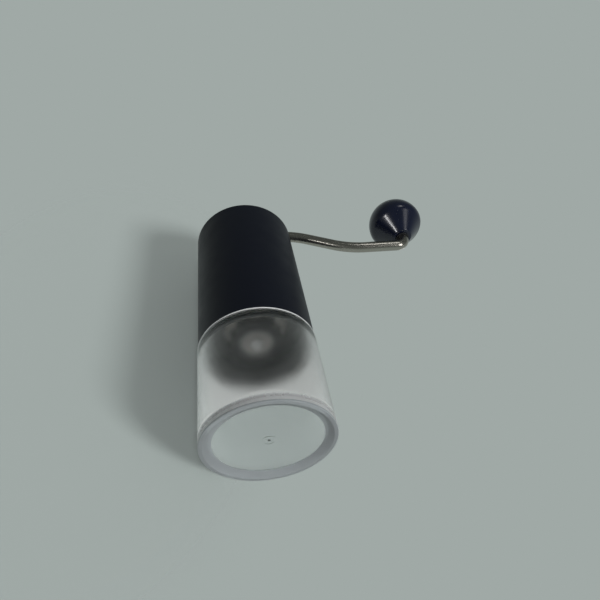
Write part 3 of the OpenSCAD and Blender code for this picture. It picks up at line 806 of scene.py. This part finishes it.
class GRINDER_OT_crank(bpy.types.Operator):
    """Bends the crank rod and turns the hub, its sleeve and its cap"""

    bl_idname = "grinder.crank"
    bl_label = "Crank"

    def execute(self, context):
        rod_z, foot_z = high("crank_hub").z - ROD_BELOW_HUB, low("crank_rod").z + ROD_RADIUS
        lean = math.radians(STEP_SLOPE)
        run = (rod_z - foot_z - 2 * STEP_BEND * (1 - math.cos(lean))) / math.sin(lean)
        half = STEP_BEND * math.sin(lean) + run * math.cos(lean) / 2
        start, end = STEP_MIDDLE - half, STEP_MIDDLE + half
        path = [(ROD_START, 0, rod_z), (ROD_START + 4, 0, rod_z)]
        path += arc((start, rod_z - STEP_BEND), STEP_BEND, 90, -STEP_SLOPE, 14)
        path += arc((end, foot_z + STEP_BEND), STEP_BEND, 270 - STEP_SLOPE, STEP_SLOPE, 14)
        path += arc((CRANK_REACH - KNOB_BEND, foot_z + KNOB_BEND), KNOB_BEND, 270, 90, 16)
        path += [(CRANK_REACH, 0, AXLE_END - 3), (CRANK_REACH, 0, AXLE_END)]
        rod = Shape()
        rod.sweep(path, ROD_RADIUS, sides=48, ends=0.4)
        fit(rod.build("crank_arm", [drawn_stainless()]), "crank", "crank_steel", "crank_rod")

        foot, collar_r, inner = low("knob").z, 3.9, ROD_RADIUS - 0.1
        collar = Shape()
        collar.turn(rounded([
            (inner, foot - 0.95, 0.1), (collar_r, foot - 0.95, 0.3), (collar_r, foot - 0.05, 0.2),
            (inner, foot - 0.05, 0.1)]), centre=(CRANK_REACH, 0), sides=64)
        fit(collar.build("knob_stop", [moulded_abs("stop_abs")]), "crank", "inner_black")

        base, top = low("crank_hub").z, high("crank_hub").z
        hub_r, hex_r, cap_r = 8, 3.7, 5.15
        hub = Shape()
        hub.turn(rounded([
            (hex_r, base, 0.3), (hub_r, base, 0.6), (hub_r, top, 1.0), (cap_r, top, 0.2),
            (cap_r, top - 1.4, 0.1), (hex_r, top - 1.4, 0)]), sides=96, wave=hexagon(hex_r, 3.25))
        # The sleeve round the rod is turned upright and then laid along +X
        sleeve, sleeve_r, bore, mouth = Shape(), 4.3, 3.05, 15
        sleeve.turn(rounded([
            (0, 5.8, 0), (sleeve_r, 5.8, 0.1), (sleeve_r, mouth, 0.5), (bore, mouth, 0.3),
            (bore, 6.2, 0), (0, 6.2, 0)], closed=False), sides=64)
        first = len(hub.points)
        hub.points += [(z, y, rod_z + x) for x, y, z in sleeve.points]
        hub.faces += [[k + first for k in face] for face in sleeve.faces]
        hub.finishes += sleeve.finishes
        steel = turned_steel("hub_steel", "#A3A29F", "#C2C1BE", (0.26, 0.38))
        fit(hub.build("hub_casting", [steel]), "crank", "crank_steel", "crank_hub")

        seat, crown = low("hub_cap").z, high("hub_cap").z
        cap = Shape()
        cap.turn(rounded([
            (0, seat, 0), (5, seat, 0.2), (5, top + 0.2, 0.3), (4.2, top + 0.85, 0.8),
            (2.5, crown - 0.12, 1.5), (0, crown, 0)], closed=False), sides=96)
        steel = turned_steel("cap_steel", "#B0AFAC", "#CBCAC7", (0.2, 0.3))
        fit(cap.build("hub_button", [steel]), "crank", "crank_steel", "hub_cap")
        return {"FINISHED"}


class GRINDER_OT_knob(bpy.types.Operator):
    """Turns the knob, its cap and the brass sleeve it turns on"""

    bl_idname = "grinder.knob"
    bl_label = "Knob"

    def execute(self, context):
        base, top = low("knob").z, high("knob_cap").z
        dome_r = (high("knob").x - low("knob").x) / 2
        dome_z = top - dome_r
        cap_edge = dome_z + math.sqrt(dome_r ** 2 - KNOB_CAP ** 2)
        seat = low("knob_washer").z - 0.2

        # The edge is an arc that leaves the cone and meets the dome without a corner
        cone = math.radians(KNOB_CONE)
        side = Vector((math.sin(cone), math.cos(cone)))
        foot = Vector((KNOB_NECK - KNOB_EDGE * side.y, KNOB_EDGE * side.x - (dome_z - base)))
        along = foot.dot(side)
        reach = -along + math.sqrt(along ** 2 - foot.dot(foot) + (dome_r - KNOB_EDGE) ** 2)
        edge = foot + side * reach
        stop = math.atan2(edge.y, edge.x)
        outside = []
        for k in range(17):
            a = -cone + (stop + cone) * k / 16
            outside.append((edge.x + KNOB_EDGE * math.cos(a),
                            dome_z + edge.y + KNOB_EDGE * math.sin(a)))
        rise = math.asin((cap_edge - dome_z) / dome_r) - 0.02
        for k in range(1, 37):
            a = stop + (rise - stop) * k / 36
            outside.append((dome_r * math.cos(a), dome_z + dome_r * math.sin(a)))
        neck = rounded([(KNOB_BORE, base, 0.15), (KNOB_NECK, base, 0.7), outside[0] + (0,)],
                       closed=False)
        pocket, bore = KNOB_CAP + 0.04, 4.2
        inner = [(KNOB_CAP + 0.08, cap_edge - 0.15), (pocket, cap_edge - 0.5), (pocket, seat),
                 (bore, seat), (bore, base + 1), (KNOB_BORE, base + 1)]
        knob = Shape()
        knob.turn(neck[:-1] + outside + inner, centre=(CRANK_REACH, 0), sides=192)
        gloss = phenolic_gloss(context.scene.grinder_colours)
        fit(knob.build("knob_turning", [gloss]), "knob", "knob_black", "knob")

        under = low("knob_cap").z
        crown = [(0, under), (KNOB_CAP - 0.3, under), (KNOB_CAP - 0.1, under + 0.2),
                 (KNOB_CAP - 0.1, cap_edge - 0.2)]
        turn_in = math.acos((KNOB_CAP - 0.2) / dome_r)
        for k in range(15):
            a = turn_in + (math.pi / 2 - turn_in) * k / 14
            crown.append((dome_r * math.cos(a) if k < 14 else 0.0, dome_z + dome_r * math.sin(a)))
        cap = Shape()
        cap.turn(crown, centre=(CRANK_REACH, 0), sides=128, closed=False)
        fit(cap.build("knob_plug", [gloss]), "knob", "knob_black", "knob_cap")

        sleeve, sleeve_r, hole = Shape(), 4.15, 3.05
        sleeve.turn(rounded([
            (hole, base + 1.05, 0.2), (sleeve_r, base + 1.05, 0.2), (sleeve_r, seat, 0.2),
            (hole, seat, 0.2)]), centre=(CRANK_REACH, 0), sides=96)
        fit(sleeve.build("knob_bearing", [turned_brass()]), "knob", "knob_brass", "knob_sleeve")
        return {"FINISHED"}


class GRINDER_OT_burrs(bpy.types.Operator):
    """Presses the fixed burr and the turning burr with their helical teeth"""

    bl_idname = "grinder.burrs"
    bl_label = "Ceramic burrs"

    def execute(self, context):
        ceramic = sintered_alumina()
        z0, z1, ring_r = low("outer_burr").z, high("outer_burr").z, high("outer_burr").x
        mouth_r, waist_r, throat_r = 13.6, 12.3, ring_r - 4.7
        waist_z = z0 + 9

        def fixed(angle, r, z):
            """Three key slots outside; inside, 24 fine teeth below the waist and 12 above it."""
            if r > ring_r - 0.8:
                off = abs(angle / TURN * 3 % 1 - 0.5) / 3 * TURN * ring_r
                return r - 1.3 if off < 1.6 else r
            depth, count = (0.55, 24) if z < waist_z else (1.1, 12)
            inset = min(1.0, max(0.0, (z1 - 0.2 - z) / 0.6), max(0.0, (z - z0 - 0.1) / 0.6))
            tooth = saw(angle * count / TURN + (z - z0) * 0.055 * count / 12)
            return r + depth * inset * tooth

        steps = [(mouth_r + (waist_r - mouth_r) * t / 14, z0 + 9 * t / 14) for t in range(15)]
        steps += [(waist_r, waist_z + 0.75 * t) for t in range(1, 5)]
        steps += [(waist_r + (throat_r - waist_r) * t / 9,
                   waist_z + 3 + (z1 - waist_z - 3) * t / 9) for t in range(1, 10)]
        steps += [(ring_r - 0.3, z1), (ring_r, z1 - 0.3), (ring_r, z0 + 0.4), (ring_r - 0.4, z0)]
        fixed_burr = Shape()
        fixed_burr.turn(steps, sides=576, wave=fixed)
        fit(fixed_burr.build("burr_ring", [ceramic]), "body", "burr_ceramic", "outer_burr")

        b0, b1, cone_r = low("inner_burr").z, high("inner_burr").z, high("inner_burr").x
        bore_r, neck_r, top_r = 4.1, 11.8, 7.2
        flank, neck_z = b0 + 2.2, b0 + 11

        def turning(angle, r, z):
            """A hexagon inside; outside, 24 fine teeth below the neck and 6 deep ones above."""
            if r < 4.2:
                return hexagon(r, 3.55)(angle, r, z)
            if r < 6.4 or z < b0 + 0.3:
                return r
            inset = min(1.0, max(0.0, (z - b0 - 0.4) / 0.8), max(0.0, (b1 - z) / 0.5))
            fine = saw(angle * 24 / TURN - z * 0.1)
            if z < neck_z:
                return r - 0.6 * inset * fine
            growth = inset * min(1.0, (z - b0 - 10.9) / 2.5)
            deep = growth * saw(angle * 6 / TURN - z * 0.055) ** 2
            return r - 1.9 * deep - 0.4 * max(0.0, 1 - (z - neck_z) / 3) * fine

        profile = [(bore_r, b0), (cone_r - 0.5, b0), (cone_r, b0 + 0.5)]
        profile += [(cone_r - (cone_r - neck_r) * t / 14, flank + (neck_z - flank) * t / 14)
                    for t in range(15)]
        profile += [(neck_r + (top_r - neck_r) * t / 14, neck_z + (b1 - neck_z) * t / 14)
                    for t in range(1, 15)]
        profile += [(6.1, b1), (6.1, b1 - 4), (bore_r, b1 - 4)]
        turning_burr = Shape()
        turning_burr.turn(profile, sides=480, wave=turning)
        fit(turning_burr.build("burr_cone", [ceramic]), "burr", "burr_ceramic", "inner_burr")
        return {"FINISHED"}


class GRINDER_OT_drive(bpy.types.Operator):
    """Turns the drive shaft with its thread and hexagons and coils the spring"""

    bl_idname = "grinder.drive"
    bl_label = "Shaft and spring"

    def execute(self, context):
        foot, top = low("shaft").z, high("shaft").z
        collar, hexed = high("spring_seat").z, low("inner_burr").z - 1.4
        shoulder, groove = high("lid").z + 0.25, low("circlip").z
        thread_r, shaft_r, collar_r, pitch_step = 3, 4.0, 5.6, 0.125
        # The collar starts inside the shaft, and the shaft above the lower hexagon is a touch
        # wider, so that section can tell them apart
        inside, plain_r = 4.6001, 4.0001

        def section(angle, r, z):
            """The 1 mm thread below, the burr's hexagon above it and the crank's at the top."""
            if r < 2.45 or r > 4.6:
                return r
            if z < hexed - 0.4:
                cut = abs((angle / TURN + z) % 1 - 0.5) * 2
                ends = min(1.0, (z - foot - 0.4) / 0.8, max(0.0, (hexed - 0.6 - z) / 0.6))
                return r - 0.6 * cut * ends
            if hexed <= z <= collar + 0.001 and r < 4.05:
                return hexagon(r, 3.5)(angle, r, z) - (r < 3.9) * 0.3
            if z >= shoulder - 0.001 and r < 3.95:
                return hexagon(r, 3.2)(angle, r, z) - (r < 3.6) * 0.4
            return r

        outline = [(0, foot), (2.4, foot)]
        outline += [(thread_r, foot + 0.6 + k * pitch_step)
                    for k in range(int((hexed - 0.6 - foot) / pitch_step))]
        outline += [(thread_r, hexed - 0.05), (3.8, hexed), (shaft_r, hexed + 0.4),
                    (shaft_r, collar)]
        outline += rounded([(inside, collar, 0), (collar_r, collar, 0.2),
                            (collar_r, collar + 1.2, 0.2), (inside, collar + 1.2, 0)],
                           closed=False)
        outline += [(plain_r, collar + 1.21), (plain_r, groove - 0.03), (3.3, groove - 0.02),
                    (3.3, groove + 0.83), (plain_r, groove + 0.84), (plain_r, shoulder - 0.2),
                    (3.98, shoulder - 0.02), (3.8, shoulder), (3.8, top - 0.4), (3.55, top),
                    (0, top)]
        body = Shape()
        body.turn(outline, sides=96, closed=False, wave=section)
        steel = turned_steel("shaft_steel", "#A6A6A6", "#C4C4C4", (0.2, 0.3))
        fit(body.build("drive_shaft", [steel]), "drive", "steel", "shaft")

        wire_r, coil_r, turns, count = 0.5, 5.1, 5, 150
        z0, z1 = low("spring").z + wire_r, high("spring").z - wire_r
        path = []
        for k in range(count + 1):
            angle = TURN * turns * k / count
            path.append((coil_r * math.cos(angle), coil_r * math.sin(angle),
                         z0 + (z1 - z0) * k / count))
        coil = Shape()
        coil.sweep(path, wire_r, sides=14, ends=0.12)
        steel = turned_steel("spring_steel", "#5E6064", "#8A8C90")
        fit(coil.build("burr_spring", [steel]), "drive", "spring_steel", "spring")
        return {"FINISHED"}


class GRINDER_OT_adjuster(bpy.types.Operator):
    """Moulds the lobed adjusting wheel round its nut"""

    bl_idname = "grinder.adjuster"
    bl_label = "Adjusting wheel"

    def execute(self, context):
        foot, top = low("adjuster_wheel").z, high("adjuster_wheel").z
        outer, wheel, lobe_count, scoop = 11.9, top - 5.4, 6, 4.2
        sleeve_r, flange_r, nut_r, hole = 8, 6.95, 5.1, 4.7

        def lobes(angle, r, z):
            """Six finger scoops round the wheel, and the nut's hexagon inside."""
            if r > 10 and z > wheel - 0.01:
                off = (angle / TURN * lobe_count) % 1 - 0.5
                away = (outer + 2.4) * math.sin(off * TURN / lobe_count)
                if abs(away) < scoop:
                    ahead = (outer + 2.4) * math.cos(off * TURN / lobe_count)
                    return r - smooth(outer - ahead + math.sqrt(scoop ** 2 - away ** 2), 0.5)
                return r
            if r < 5.2 and foot + 1.1 < z < top - 1.2:
                return hexagon(r, 5.05)(angle, r, z)
            return r

        outline = rounded([
            (hole, top, 0.2), (outer, top, 0.5), (outer, wheel, 0.6), (sleeve_r, wheel, 0.4),
            (sleeve_r, foot, 0.3), (flange_r, foot, 0.2), (flange_r, foot + 1.2, 0),
            (nut_r, foot + 1.2, 0), (nut_r, foot + 5.6, 0), (hole, foot + 5.6, 0)])

        def skin(k):
            """The finish of the face that starts at a point of the outline: 1 on the sleeve, whose
            paler grey is painted light.
            """
            (r0, z0), (r1, z1) = outline[k], outline[(k + 1) % len(outline)]
            r, z = (r0 + r1) / 2, (z0 + z1) / 2
            return 1 if 6.9 < r < 8.1 and z < wheel - 0.3 else 0

        body = Shape()
        body.turn(outline, sides=288, wave=lobes, finish_at=skin)
        # painted highlight: the sleeve is the same moulding in a paler grey, so that its side
        # shows as a pale arc
        skins = [moulded_abs("wheel_abs", "#0E0F11", "#141518"),
                 moulded_abs("sleeve_painted_highlight", "#66686B", "#707275")]
        fit(body.build("grind_wheel", skins), "adjuster", "inner_black", "adjuster_wheel")
        return {"FINISHED"}


class GRINDER_OT_carried(bpy.types.Operator):
    """Gives the solids that keep their shape their finishes"""

    bl_idname = "grinder.carried"
    bl_label = "Solids kept as they are"

    def execute(self, context):
        dress(moulded_abs("inner_abs", "#0A0B0D", "#0F1012"),
              "burr_carrier", "upper_bridge", "burr_retainer")
        dress(acetal(), "upper_bush", "lower_bush")
        dress(turned_steel(), "thrust_washer", "top_washer", "spring_seat", "retainer_screw_1",
              "retainer_screw_2", "retainer_screw_3", "click_plate", "knob_washer", "knob_screw")
        dress(turned_steel("nut_steel", "#868380", "#9C9995", (0.3, 0.42)), "adjuster_nut")
        dress(turned_steel("clip_steel", "#505256", "#6E7074"), "circlip")
        return {"FINISHED"}


class GRINDER_PT_panel(bpy.types.Panel):
    """Lists the sizes, the colours and the pieces in the sidebar"""

    bl_idname = "GRINDER_PT_panel"
    bl_label = "Coffee grinder"
    bl_space_type = "VIEW_3D"
    bl_region_type = "UI"
    bl_category = "Grinder"

    def draw(self, context):
        scene = context.scene
        for group in (scene.grinder_studio, scene.grinder_sizes, scene.grinder_colours):
            for name in type(group).__annotations__:
                self.layout.prop(group, name)
        for piece in PIECES:
            self.layout.operator(piece.bl_idname)


PIECES = (GRINDER_OT_studio, GRINDER_OT_housing, GRINDER_OT_cup, GRINDER_OT_lid,
          GRINDER_OT_crank, GRINDER_OT_knob, GRINDER_OT_burrs, GRINDER_OT_drive,
          GRINDER_OT_adjuster, GRINDER_OT_carried)
CLASSES = (GrinderStudio, GrinderSizes, GrinderColours) + PIECES + (GRINDER_PT_panel,)


def register():
    for made in CLASSES:
        bpy.utils.register_class(made)
    bpy.types.Scene.grinder_studio = bpy.props.PointerProperty(type=GrinderStudio)
    bpy.types.Scene.grinder_sizes = bpy.props.PointerProperty(type=GrinderSizes)
    bpy.types.Scene.grinder_colours = bpy.props.PointerProperty(type=GrinderColours)


def unregister():
    del bpy.types.Scene.grinder_colours
    del bpy.types.Scene.grinder_sizes
    del bpy.types.Scene.grinder_studio
    for made in reversed(CLASSES):
        bpy.utils.unregister_class(made)


def main():
    """Registers the add-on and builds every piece."""
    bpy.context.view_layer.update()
    register()
    for piece in PIECES:
        group, name = piece.bl_idname.split(".")
        getattr(getattr(bpy.ops, group), name)()


if __name__ == "__main__":
    main()
